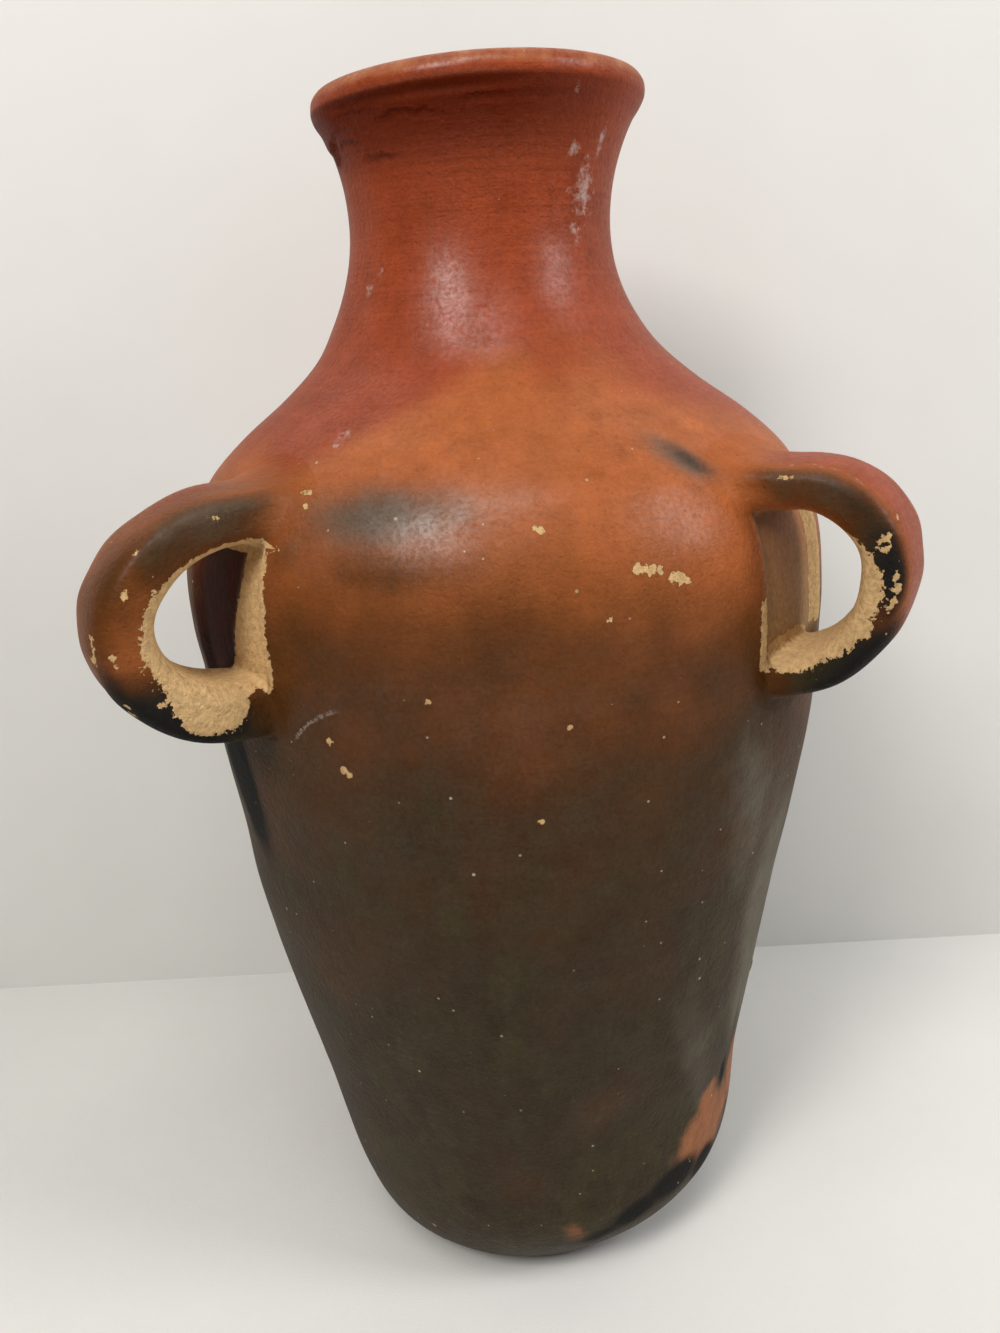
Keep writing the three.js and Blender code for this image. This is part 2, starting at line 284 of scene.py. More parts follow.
def fired_clay(skin_point):
    """The clay's material. skin_point gives the place of an azimuth and a height on the wall's skin."""
    clay = Recipe("fired_clay")
    place = clay.place()
    painted = {name: clay.make("Attribute", {}, {"attribute_name": name}, "Fac") for name in MARKS}
    neck = painted["brick"]

    def away_from(azimuth, height):
        sockets = {0: place, 1: skin_point(azimuth, height)}
        return clay.make("VectorMath", sockets, {"operation": "DISTANCE"}, 1)

    def cells(size, output):
        return clay.make("TexVoronoi", {"Vector": place, "Scale": 1 / size}, None, output)

    # Patterns of the skin: lumps of several sizes, streaks down the wall, and marks of wiping and rubbing.
    broad = clay.grain(place, 34, 3, 0.55) - MIDDLE
    rough = clay.grain(place, 9, 4, 0.6) - MIDDLE
    crumbs = clay.grain(place, 1.6, 3, 0.65) - MIDDLE
    fine = clay.grain(place, 0.9, 2, 0.6)
    streaky = clay.grain(clay.place((11, 11, 34)), 1, 4, 0.6) - MIDDLE
    wiped = clay.grain(clay.place((60, 60, 1)), 1.5, 3, 0.6)
    rubbed = clay.grain(clay.place((1.6, 1.6, 26)), 1, 2, 0.6)

    # The slip's colour, from brick red at the neck through orange to the brown and black of the smoke.
    red = clay.step(0.12, 0.88, painted["brick"] + broad * 0.8 + rough * 0.35 + streaky * 0.25)
    smoke = painted["smoke"] + broad * 0.6 + rough * 0.2 + streaky * 0.25 + (rubbed - MIDDLE) * 0.12
    tones = clay.make("ValToRGB", {0: smoke})
    ramp = tones.socket.node.color_ramp
    ramp.interpolation = "B_SPLINE"
    for stop, tone in zip((0.0, 0.36, 0.6, 0.8), (ORANGE, RUSSET, UMBER, SMOKED)):
        made = ramp.elements[0] if stop == 0 else ramp.elements.new(stop)
        made.position, made.color = stop, tone
    ramp.elements[-1].color = DARK
    olive = clay.step(0.05, 0.3, streaky * 0.8 + broad * 0.8 + smoke - 0.85)
    colour = clay.blend(red, clay.blend(olive * 0.7, tones, OLIVE), BRICK)

    # Ash, fire clouds, scorched patches and soot. The soot's black also serves as painted shade in the groove
    # under the lip, by the lip's flap and behind the left handle.
    ashen = clay.step(0.25, 0.95, painted["ash"] + broad * 0.5 + rough * 0.3)
    colour = clay.blend(ashen, colour, ASH)
    clouded = clay.step(0.15, 0.95, painted["cloud"] + broad * 0.3 + rough * 0.35)
    colour = clay.blend(clouded, colour, CLOUD)
    scorched = clay.step(0.26, 0.78, painted["scorch"] + rough * 0.6 + streaky * 0.5)
    colour = clay.blend(scorched, colour, FLAME)
    soot_and_shade_mix = clay.step(0.2, 0.85, painted["soot_and_shade"] + rough * 0.45 + broad * 0.2)
    colour = clay.blend(soot_and_shade_mix, colour, SOOT_AND_SHADE)

    # Painted shade: a dark red laid in the creases, under the lip and behind the left handle.
    level = clay.make("SeparateXYZ", {0: place}, None, "Z")
    wander = rough * 7 + crumbs * 1.2
    crack = 0
    for azimuth, height, length in CREASES:
        line = 1 - clay.step(0.1, 1.9, clay.number("ABSOLUTE", level - height + wander))
        near = 1 - clay.step(length * 0.3, length, away_from(azimuth, height))
        crack = clay.number("MAXIMUM", line * near, crack)
    painted_shade = painted["painted_shade"] + rough * 0.5 + streaky * 0.3 + crack * 0.18
    colour = clay.blend(clay.step(0.1, 0.9, painted_shade), colour, PAINTED_SHADE_RED)
    shade = 0.62 + wiped * 0.26 * (0.4 + neck * 0.9) + rubbed * 0.24 + rough * 0.6 + streaky * 0.5
    shade = shade + fine * 0.26 + crumbs * 0.35
    colour = clay.make("VectorMath", {0: colour, "Scale": shade}, {"operation": "SCALE"})

    # Chalky bloom, the bare clay inside, and specks of lime.
    bloom = painted["chalk"] * 0.62 + (clay.grain(place, 4.2, 4, 0.7) - MIDDLE) * 1.1
    bloom = clay.step(0.46, 0.72, bloom)
    colour = clay.blend(bloom * 0.55, colour, CHALK)
    colour = clay.blend(painted["inner"], colour, INNER)
    chance = clay.make("SeparateColor", {0: cells(LIME_EVERY, 1)})
    size = (chance - 0.55) * 0.26 * painted["lime"]
    lime = clay.step(0.0, 0.03, size + crumbs * 0.05 - cells(LIME_EVERY, "Distance"))
    lime = lime * (1 - painted["inner"]) * (0.65 + rough * 1.6)
    colour = clay.blend(lime, colour, LIME)

    # Places where the slip is worn thin, worn off or flaked off.
    flaked = (painted["bare"] - MIDDLE) * 6 + crumbs * 4.0 + rough * 4.0
    flaked = flaked + (clay.grain(place, 3.2, 4, 0.65) - MIDDLE) * 5
    ragged = crumbs * 2.6 + (clay.grain(place, 2.6, 3, 0.6) - MIDDLE) * 4
    for azimuth, height, radius in FLAKES:
        flaked = clay.number("MAXIMUM", flaked, radius - away_from(azimuth, height) + ragged)
    bare = clay.step(-0.12, 0.12, flaked)
    dusty = clay.blend(clay.step(0.3, 0.7, clay.grain(place, 2, 4, 0.75)), BUFF, SHADED_BUFF)
    colour = clay.blend(painted["thin"] * (1 + crumbs), colour, dusty)
    colour = clay.blend(bare, colour, dusty)

    off = clay.number("ABSOLUTE", away_from(*SCRATCH["centre"]) - SCRATCH["radius"] + crumbs * 1.6)
    near = 1 - clay.step(SCRATCH["reach"] * 0.7, SCRATCH["reach"], away_from(*SCRATCH["middle"]))
    scratch = (1 - clay.step(0.2, 0.9, off)) * near
    colour = clay.blend(scratch * 0.32 * clay.step(0.35, 0.6, fine), colour, CHALK)

    # The rub of the skin, its relief in millimetres and its polish.
    dull = clay.number("MAXIMUM", bare, painted["inner"] + painted["thin"])
    shine = 0.42 + fine * 0.10 + rough * 0.12 + painted["ash"] * 0.10 + bloom * 0.25 + soot_and_shade_mix * 0.22
    roughness = shine + (0.9 - shine) * dull
    pits = 1 - clay.step(0.0, 0.22, cells(PITS_EVERY, "Distance"))
    skin = wiped * (0.09 + neck * 0.2) + rubbed * 0.14 + fine * 0.26 + crumbs * 0.45 - pits * 0.2
    skin = skin + clay.grain(place, 3, 3, 0.6) * 0.55 + clay.grain(place, 6.5, 2) * 0.34 - crack * 0.7
    height = skin + (crumbs * 0.15 - 0.25) * bare + lime * 0.05
    polish = 0.5 + neck * 0.2 + painted["cloud"] * 0.25 - painted["smoke"] * 0.3 - painted["ash"] * 0.1
    polish = polish * (1 - dull) * (1 - soot_and_shade_mix * 0.8) * painted["polish"]
    rubbed_up = clay.step(0.3, 0.7, clay.grain(place, 1.5, 3, 0.7))
    polish = polish * (0.25 + rubbed_up * 1.1 + wiped * 0.4) * (0.8 + rough)
    return clay.finish(colour, roughness, height, polish)


# The wall of the jar, which all its courses share.
# Each course is a ring of clay coils pinched up on the one below, scraped level and rubbed over. The potter's
# eye kept it round, so it leans and swells a little. The seams are smeared shut and can't be seen.
OUTLINE = (
    (0, 52.5, 49), (4, 68, 61.5), (9, 73.5, 67.2), (25, 79.5, 81.5), (81, 90.5, 90), (144, 104, 101),
    (169, 108, 105.5), (190, 109.5, 109.5), (226, 113.5, 115), (254, 115.5, 116.5), (268, 117, 117),
    (306, 111, 110), (318, 103.5, 102.5), (330, 91, 89.5), (342, 75.5, 73), (354, 63, 59.5), (366, 56, 51),
    (402, 47, 44), (424, 51.2, 50.5), (434, 55.8, 56),
)
SEAMS = {"slab": 14, "heel": 50, "foot": 92, "lower_wall": 136, "upper_wall": 180, "lower_belly": 225,
         "belly": 270, "shoulder": 310, "closing": 342, "neck": 384, "flare": 424}
WALL = 9
LAP = 4
SPIN_STEPS = 90
SPIN_CUTS = 3

heights, left_radii, right_radii = np.array(OUTLINE).T
left_side = through(np.sqrt(heights), left_radii)
right_side = through(np.sqrt(heights), right_radii)


def soft(low, high, value):
    """0 below low, 1 above high and a smooth rise between."""
    t = np.clip((value - low) / (high - low), 0, 1)
    return t * t * (3 - 2 * t)


def mean_radius(z):
    """The turned shape's radius at a height, drawn over the root of the height, which rounds the heel."""
    root = np.sqrt(np.maximum(z, 0))
    return (left_side(root) + right_side(root)) / 2


def spline_weights(t):
    """The shares of four neighbours in a smooth curve that runs near them."""
    return (1 - t) ** 3 / 6, (3 * t**3 - 6 * t**2 + 4) / 6, (1 + 3 * t + 3 * t**2 - 3 * t**3) / 6, t**3 / 6


def uneven(azimuth, z, around, tall, seed):
    """Smooth random humps and hollows of about 1, so many round the jar and one every so many mm up it."""
    rows = int(500 / tall) + 4
    humps = np.random.default_rng(seed).uniform(-2, 2, (rows, around))
    u, v = azimuth / (2 * math.pi) * around, (np.asarray(z, float) + 20) / tall
    column, row = np.floor(u).astype(int), np.floor(v).astype(int)
    total = 0
    for i, up in enumerate(spline_weights(v - row)):
        for j, aside in enumerate(spline_weights(u - column)):
            total = total + up * aside * humps[(row + i) % rows, (column + j) % around]
    return total


FINGER_HOLLOWS = ((39.8, 64, -1), (43.5, 66, 1))
HOLLOW_DEPTH = 2.4


def hand_shift(azimuth, z):
    """How far the hand-built skin lies outside the turned shape, at an azimuth in radians and a height."""
    degrees = np.degrees(azimuth)
    root = np.sqrt(np.maximum(z, 0))
    shift = (right_side(root) - left_side(root)) / 2 * np.sin(azimuth)
    shift = shift + 0.42 * uneven(azimuth, z, 7, 62, 3) + 0.13 * uneven(azimuth, z, 26, 15, 4)
    shift = shift + 0.045 * uneven(azimuth, z, 64, 6.5, 5)
    for front, back, side in FINGER_HOLLOWS:
        inside = soft(0, 1.6, side * degrees - front) * (1 - soft(-3, 1, side * degrees - back))
        shift = shift - HOLLOW_DEPTH * inside * soft(250, 259, z) * (1 - soft(301, 311, z))
    pellet = np.exp(-(((degrees - 82) / 4) ** 2) - ((z - 101) / 4.5) ** 2)
    from_flap = np.abs(degrees + 79)
    flap_edge = 425.5 - 4.5 * (1 - soft(0, 20, from_flap))
    flap = soft(-0.9, 0.9, z - flap_edge) * (1 - soft(430, 436, z)) * (1 - soft(15, 30, from_flap))
    groove = np.exp(-(((z - 431) / 1.7) ** 2)) * soft(-66, -50, degrees) * (1 - soft(-8, 22, degrees))
    roll = np.exp(-(((z - 435.5) / 3) ** 2)) * soft(-130, -70, degrees) * (1 - soft(0, 30, degrees))
    return shift + 2.3 * pellet + 0.8 * flap - 1.9 * groove + 0.2 * roll


def skin_point(degrees, z):
    """The place on the wall's skin at an azimuth and a height, in millimetres."""
    azimuth = math.radians(degrees)
    radius = float(mean_radius(z) + hand_shift(azimuth, z))
    return (radius * math.sin(azimuth), -radius * math.cos(azimuth), z)


# Marks that the fire and wear left, and painted shade, as fields over the wall, each from 0 to 1.
# A blot gives the azimuth and height of its middle, its half width and half height in millimetres,
# its slant in degrees and its strength.
MARKS = (
    "brick", "painted_shade", "smoke", "ash", "cloud", "scorch", "soot_and_shade", "chalk", "thin", "bare", "lime", "inner",
    "polish",
)

# How well the skin is polished and how strong the painted shade under the lip is, round the jar.
POLISHED = ((-180, 0.6), (-120, 0.45), (-62, 0.2), (-26, 1.0), (2, 1.1), (36, 0.62), (64, 0.4), (180, 0.6))
LIP_SHADE = ((-180, 0.7), (-100, 1), (10, 1), (60, 0.4), (120, 0.5), (180, 0.7))

# The height where the red neck ends, round the jar, and how softly.
RED_EDGE = (
    (-180, 338), (-110, 332), (-70, 326), (-58, 328), (-45, 326), (-33, 331), (-22, 339), (-8, 347),
    (5, 352), (25, 351), (45, 340), (70, 326), (110, 334), (180, 338),
)
RED_FADE = ((-180, 20), (-60, 16), (-45, 11), (-33, 9), (-22, 12), (0, 26), (25, 28), (60, 22), (180, 22))

# How strong the smoke is up the wall, and how many millimetres higher that is read, round the jar.
SMOKE_RISE = (
    (0, 1.05), (110, 1.0), (150, 0.93), (195, 0.84), (222, 0.79), (240, 0.73), (256, 0.66), (270, 0.58),
    (280, 0.49), (290, 0.36), (300, 0.23), (312, 0.1), (326, 0.0), (440, 0.0),
)
WARMER_SIDE = (
    (-180, 0), (-60, -12), (-33, -5), (-11, 0), (0, 2), (22, 7), (40, 14), (70, 10), (120, -4), (180, 0),
)
BLOTS = {
    "cloud": ((-19, 314, 36, 10, 2, 0.85), (-30, 309, 20, 14, 0, 0.45), (34, 323, 15, 6.5, -32, 0.8),
              (-48, 300, 14, 22, 0, 0.6), (150, 300, 50, 26, 10, 1.0), (-140, 262, 44, 30, -15, 0.8)),
    "smoke": ((-45, 306, 17, 20, 0, 0.6), (-36, 300, 14, 9, 0, 0.4), (50, 308, 14, 12, 0, 0.45),
              (-16, 299, 32, 12, 0, 0.5)),
    "warm": ((2, 251, 36, 18, 0, 0.13), (14, 92, 16, 12, 20, 0.3), (-2, 58, 16, 12, 0, 0.2),
             (-40, 150, 14, 20, 0, 0.15)),
    # The blots along the groove under the lip and by the lip's flap are painted shade.
    "soot_and_shade": ((35.5, 322.5, 11, 4.2, -34, 0.62), (-72, 420, 5, 3.5, 20, 1.5), (-58, 222, 12, 32, 6, 1.6),
             (-40, 429.5, 26, 2.4, 0, 0.62), (-15, 430.5, 16, 1.6, 0, 0.5), (26, 34, 14, 7, 22, 1.1),
             (38, 40, 15, 8.5, 8, 1.2), (52, 35, 11, 9, -28, 1.1), (16, 26, 12, 5, 18, 0.8),
             (62, 92, 5, 22, 14, 0.5), (130, 96, 30, 60, 12, 0.8), (-150, 180, 22, 50, -8, 0.7),
             (-56, 246, 8, 12, 0, 0.8), (-62, 262, 8, 20, 0, 0.9), (12, 118, 30, 16, 30, 0.28),
             (36, 118, 9, 34, 20, 0.35), (58, 74, 4, 9, 4, 0.9)),
    "ash": ((-72, 100, 18, 80, 6, 0.55), (60, 150, 22, 70, 10, 1.0), (44, 205, 18, 40, 8, 0.7),
            (40, 104, 14, 56, 22, 0.62), (-150, 60, 40, 50, 0, 0.7), (110, 190, 26, 60, 0, 0.6)),
    "scorch": ((52, 54, 20, 17, 0, 1.2), (50, 68, 9, 12, -20, 0.9), (68, 66, 10, 22, 0, 0.9),
               (9, 30, 7, 11, 20, 0.5), (-100, 40, 14, 12, 10, 0.8), (175, 52, 20, 14, -10, 0.8)),
    "chalk": ((46, 404, 11, 15, 0, 0.95), (38, 414, 5, 5, 0, 1.0), (42, 390, 7, 9, 0, 0.9),
              (54, 418, 6, 9, 0, 0.95), (36, 430, 8, 5, 0, 0.7), (-45, 383, 5, 4, 0, 0.95),
              (-50, 377, 4, 4, 0, 0.95), (-33, 333.5, 4, 5, 20, 1.05), (-160, 372, 16, 12, 0, 0.8)),
    # Painted shade in the notch by the lip's flap, and a darker red band on the left shoulder.
    "painted_shade": ((-52, 345, 22, 5, 12, 0.3), (-78, 420, 5, 3, 0, 1.0)),
}


def along_azimuth(table, degrees):
    """A value that changes round the jar, from points of azimuth and value."""
    azimuths, values = np.array(table).T
    return np.interp(degrees, azimuths, values)


def blot(degrees, z, at, height, wide, tall, slant, strength):
    """A soft oval mark, at its full strength in the middle."""
    across = (degrees - at) * math.pi / 180 * mean_radius(z)
    up = z - height
    c, s = math.cos(math.radians(slant)), math.sin(math.radians(slant))
    return strength * np.exp(-(((across * c + up * s) / wide) ** 2) - ((up * c - across * s) / tall) ** 2)


def fire_marks(points):
    """All the marks at points on or near the wall."""
    x, y, z = points.T
    azimuth = np.arctan2(x, -y)
    degrees = np.degrees(azimuth)
    marks = {name: np.zeros(len(points)) for name in (*MARKS, "warm")}
    for name, blots in BLOTS.items():
        for sizes in blots:
            marks[name] = np.maximum(marks[name], blot(degrees, z, *sizes))
    streaks = uneven(azimuth - 0.0045 * (z - 100), z, 46, 70, 8) * soft(20, 44, np.abs(degrees - 20))
    marks["ash"] = marks["ash"] * (1 + 0.45 * streaks)
    edge, fade = along_azimuth(RED_EDGE, degrees), along_azimuth(RED_FADE, degrees)
    marks["brick"] = soft(-fade, fade, z - edge)
    level, rise = np.array(SMOKE_RISE).T
    smoke = np.interp(z + along_azimuth(WARMER_SIDE, degrees), level, rise)
    marks["smoke"] = np.maximum(smoke, marks["smoke"]) - marks.pop("warm")
    marks["lime"] = 1.1 - 0.5 * soft(320, 350, z)
    marks["scorch"] = np.maximum(marks["scorch"], 0.5 * soft(433.5, 437, z))
    marks["inner"] = soft(2.5, 5, mean_radius(z) - np.hypot(x, y)) * (1 - soft(398, 410, z))
    # Painted shade under the lip, strongest on the left and front.
    shade_under_lip = soft(398, 428, z) * (1 - soft(432.5, 434.5, z)) * along_azimuth(LIP_SHADE, degrees)
    marks["painted_shade"] = np.maximum(marks["painted_shade"], 0.8 * shade_under_lip)
    marks["polish"] = along_azimuth(POLISHED, degrees) * (1 - shade_under_lip)

    # Behind the left handle the clay is worn bare in front. Further round, the strap's cast shadow is painted
    # on the wall as dark red and black.
    lit_back = 45.6 + 5 * soft(300, 262, z)
    shaded = soft(-0.4, 1.2, -degrees - lit_back) * soft(76, 58, -degrees) * soft(246, 260, z)
    shaded = shaded * soft(312, 299, z)
    marks["painted_shade"] = np.maximum(marks["painted_shade"], 0.45 * shaded)
    marks["soot_and_shade"] = np.maximum(marks["soot_and_shade"], 0.75 * shaded)
    marks["polish"] = marks["polish"] * (1 - shaded)

    # Behind the right handle the slip is worn thin, and off at the far end and in a strip in front.
    right_inside = soft(42, 44.5, degrees) * soft(72, 62, degrees) * soft(255, 262, z) * soft(310, 302, z)
    marks["ash"] = marks["ash"] * (1 - right_inside)
    marks["thin"] = (0.5 - 0.2 * soft(268, 300, z)) * right_inside
    reach = soft(257, 263, z) * (1 - soft(301, 307, z))
    left_worn = soft(-0.9, 0.9, -degrees - 38.9) * (1 - soft(-0.5, 0.7, -degrees - lit_back))
    right_worn = soft(62.5, 64, degrees)
    marks["bare"] = np.maximum(left_worn, right_worn * soft(70, 66, degrees)) * reach
    strip = np.exp(-(((degrees - 42.6) / 1.1) ** 2)) * soft(252, 258, z) * (1 - soft(276, 283, z))
    marks["bare"] = np.maximum(marks["bare"], strip)
    return marks


def worked_by_hand(points):
    """Moves points of the turned shape, in millimetres, to where the potter's hand left them."""
    x, y, z = points.T
    r = np.hypot(x, y)
    azimuth = np.arctan2(x, -y)
    fresh = (r + hand_shift(azimuth, z) * soft(0, 45, r)) / np.maximum(r, 1e-6)
    lift = 0.6 * np.sin(2 * azimuth + 0.8) * soft(405, 436, z)
    return np.stack([x * fresh, y * fresh, z + lift], 1)


def heading(z):
    """The wall line's direction at a height, in radians above level outwards."""
    z = np.asarray(z, float)
    return np.arctan2(0.1, mean_radius(z + 0.05) - mean_radius(z - 0.05))


def outside_line(low, high, step=2.0):
    """Points of the wall's outside between two heights, from the lower to the higher."""
    z = np.linspace(low, high, int(math.ceil((high - low) / step)) + 1)
    return list(zip(mean_radius(z), z, heading(z)))


def inside_line(low, high, step=5.0):
    """Points of the wall's inside, a wall's thickness in from the outside, from the higher to the lower."""
    z = np.linspace(high, low, int(math.ceil((high - low) / step)) + 1)
    turn = heading(z)
    return list(zip(mean_radius(z) - WALL * np.sin(turn), z + WALL * np.cos(turn), turn + math.pi))


def bent_line(points, step):
    """A smooth line through points of radius and height, with its heading at each of its points."""
    points = np.array(points, float)
    reach = np.concatenate([[0], np.cumsum(np.hypot(*np.diff(points, axis=0).T))])
    radius, height = through(reach, points[:, 0]), through(reach, points[:, 1])
    at = np.linspace(0, reach[-1], int(math.ceil(reach[-1] / step)) + 1)
    turn = np.arctan2(height(at + 0.02) - height(at - 0.02), radius(at + 0.02) - radius(at - 0.02))
    return list(zip(radius(at), height(at), turn))


def finish_skin(made, normals, marks):
    """Gives the object its marks and the given normals, but leaves the faces of the seams flat."""
    mesh = made.data
    for name in MARKS:
        field = mesh.attributes.new(name, "FLOAT", "POINT")
        field.data.foreach_set("value", np.ascontiguousarray(marks[name]))
    corner = np.zeros(len(mesh.loops), int)
    mesh.loops.foreach_get("vertex_index", corner)
    start = np.zeros(len(mesh.polygons), int)
    total = np.zeros(len(mesh.polygons), int)
    flat = np.zeros(len(mesh.polygons) * 3)
    mesh.polygons.foreach_get("loop_start", start)
    mesh.polygons.foreach_get("loop_total", total)
    mesh.polygons.foreach_get("normal", flat)
    flat = flat.reshape(-1, 3)
    given = normals[corner]
    face = np.repeat(np.arange(len(start)), total)
    mean = np.add.reduceat(given, start) / total[:, None]
    across = np.einsum("ij,ij->i", mean, flat) < 0.5
    given[across[face]] = flat[face][across[face]]
    mesh.normals_split_custom_set(given)


def is_level_round(a, b):
    """Whether an edge of a spun shape runs round its axis."""
    return abs(a.z - b.z) < 1e-4 and abs(a.xy.length - b.xy.length) < 1e-3 and (a - b).length > 1e-3


def taken(mesh, name):
    """The values of a mesh's attribute, which is then removed."""
    values = np.zeros(len(mesh.vertices))
    mesh.attributes[name].data.foreach_get("value", values)
    mesh.attributes.remove(mesh.attributes[name])
    return values


def turned(name, line):
    """A ring of clay spun from a closed line of radius, height and heading, then worked by hand."""
    bm = bmesh.new()
    layers = [bm.verts.layers.float.new(name) for name in ("radius", "turn")]
    ring = []
    for radius, height, turn in line:
        vertex = bm.verts.new((0, -radius, height))
        vertex[layers[0]], vertex[layers[1]] = radius, turn
        ring.append(vertex)
    edges = [bm.edges.new((ring[i], ring[i + 1])) for i in range(len(ring) - 1)]
    if line[0][0] > 0:
        edges.append(bm.edges.new((ring[-1], ring[0])))
    bmesh.ops.spin(bm, geom=ring + edges, axis=(0, 0, 1), cent=(0, 0, 0), angle=2 * math.pi, steps=SPIN_STEPS,
                   use_merge=True)
    bmesh.ops.remove_doubles(bm, verts=bm.verts, dist=1e-3)
    round_edges = [e for e in bm.edges if is_level_round(*(v.co for v in e.verts))]
    bmesh.ops.subdivide_edges(bm, edges=round_edges, cuts=SPIN_CUTS, use_grid_fill=True)
    bmesh.ops.recalc_face_normals(bm, faces=bm.faces)
    made = mesh_object(name, bm, clay)
    mesh = made.data
    points = np.zeros(len(mesh.vertices) * 3)
    mesh.vertices.foreach_get("co", points)
    points = points.reshape(-1, 3)
    radius, turn = taken(mesh, "radius"), taken(mesh, "turn")
    azimuth = np.arctan2(points[:, 0], -points[:, 1])
    out = np.stack([np.sin(azimuth), -np.cos(azimuth), 0 * azimuth], 1)
    points[:, :2] = out[:, :2] * radius[:, None]
    around = np.stack([np.cos(azimuth), np.sin(azimuth), 0 * azimuth], 1)
    along = out * np.cos(turn)[:, None] + np.array([0, 0, 1.0]) * np.sin(turn)[:, None]
    a = worked_by_hand(points + 0.1 * around) - worked_by_hand(points - 0.1 * around)
    b = worked_by_hand(points + 0.1 * along) - worked_by_hand(points - 0.1 * along)
    normals = np.cross(a, b)
    normals /= np.linalg.norm(normals, axis=1, keepdims=True)
    marks = fire_marks(points)
    mesh.vertices.foreach_set("co", (worked_by_hand(points) * MM).ravel())
    mesh.update()
    finish_skin(made, normals, marks)
    return made


def part(made, node, slot):
    """The finished piece hangs from the root and stands for its CAD node, which is hidden. The slot is not
    used.
    """
    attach(made, "root")
    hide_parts(node)


clay = fired_clay(skin_point)


# The base slab.
# A disc of clay patted flat, 12 mm thick, its edge turned up all round to carry the first coil.
FLOOR_THICKNESS = 12
flat_line = [(r, 0, 0.0) for r in np.linspace(0, mean_radius(0), 14)[:-1]]
heel_roots = np.linspace(0, math.sqrt(SEAMS["slab"]), 16)
heel_line = [(float(mean_radius(q * q)), q * q, float(heading(max(q * q, 0.06)))) for q in heel_roots]
dish = [p for p in inside_line(0.5, SEAMS["slab"] + LAP, 1.0) if p[1] > FLOOR_THICKNESS + 3]
dish_floor = [(r, FLOOR_THICKNESS, math.pi) for r in np.linspace(dish[-1][0] - 3, 0, 14)]
part(turned("base_slab_clay", flat_line + heel_line + dish + dish_floor), "base_slab", "smoked_slip")


# The courses of the wall.
# Ten rings of coiled clay, 30 to 45 mm tall and 9 mm thick. Each is lapped over the inside of the one below,
# pinched to it and scraped until the seam is gone.
COURSES = (
    ("heel_course", "slab", "heel", "smoked_slip"),
    ("foot_course", "heel", "foot", "smoked_slip"),
    ("lower_wall_course", "foot", "lower_wall", "smoked_slip"),
    ("upper_wall_course", "lower_wall", "upper_wall", "smoked_slip"),
    ("lower_belly_course", "upper_wall", "lower_belly", "smoked_slip"),
    ("belly_course", "lower_belly", "belly", "orange_slip"),
    ("shoulder_course", "belly", "shoulder", "orange_slip"),
    ("closing_course", "shoulder", "closing", "orange_slip"),
    ("neck_collar", "closing", "neck", "red_slip"),
    ("neck_flare", "neck", "flare", "red_slip"),
)
for node, lower, upper, slip in COURSES:
    low, high = SEAMS[lower], SEAMS[upper]
    step = 1.2 if low >= SEAMS["closing"] else 2.0
    line = outside_line(low, high, step) + inside_line(low + LAP, high + LAP)
    part(turned(node + "_clay", line), node, slip)


# The rim.
# The last coil, thinned upwards, folded over to the outside and pressed down with wet fingers. The fold shows
# as a groove under the lip on the front and ends in a loose flap on the left.
neck_top = SEAMS["flare"]
LIP = [(float(mean_radius(neck_top)), neck_top), (float(mean_radius(427)), 427), (54.5, 430.4), (55.9, 433.8),
       (55.6, 437.0), (53.6, 439.4), (50.9, 440.0), (48.3, 438.8), (46.6, 436.0)]
inner_end = inside_line(neck_top, neck_top + LAP)[0]
rim_line = bent_line(LIP + [inner_end[:2]], 0.7)
part(turned("rim_roll_clay", rim_line), "rim_roll", "red_slip")


# The strap handles.
# Each is a thick strap of clay bent round three fingers, its ends pushed against the wall and luted on with
# wads of wet clay. The upper wad is smoothed away into the shoulder and the lower one is left as a blunt
# ledge. The two were shaped by eye, so each side has its own sizes.
HANDLES = {
    "left": dict(
        side=-1, root=48.1, facing=58.5, middle=283, droop=-0.2, out=35.6, rise=30.3,
        top=17.6, bottom=20.3, width=33.7, skew=-0.4,
    ),
    "right": dict(
        side=1, root=52.6, facing=61.5, middle=282.3, droop=4.1, out=29.3, rise=30.1,
        top=15.8, bottom=14.6, width=37.2, skew=-0.1,
    ),
}
UPPER_SMEAR = dict(outer=(13, 15), inner=(4, 4), front=(9, 9), back=(9, 9))
LOWER_SMEARS = {
    "left": dict(outer=(2.5, 2), inner=(5, 5), front=(5, 4), back=(5, 4)),
    "right": dict(outer=(6, 8), inner=(5, 5), front=(5, 4), back=(5, 4)),
}
STRAP_FACES = ("outer", "inner", "front", "back")
STRAP_SIDES = 72
STRAP_STATIONS = 181
END_STATIONS = 52
END_DEPTH = 26
SQUARENESS = 0.62
SPLIT_ANGLE = 58


def wall_gap(points):
    """How far points lie outside the wall's skin, measured level."""
    x, y, z = points.T
    azimuth = np.arctan2(x, -y)
    return np.hypot(x, y) - mean_radius(z) - hand_shift(azimuth, z)


def wall_normal(points):
    """The wall's outward direction next to points."""
    steps = np.eye(3) * 0.5
    slope = np.stack([wall_gap(points + d) - wall_gap(points - d) for d in steps], 1)
    return slope / np.linalg.norm(slope, axis=1, keepdims=True)


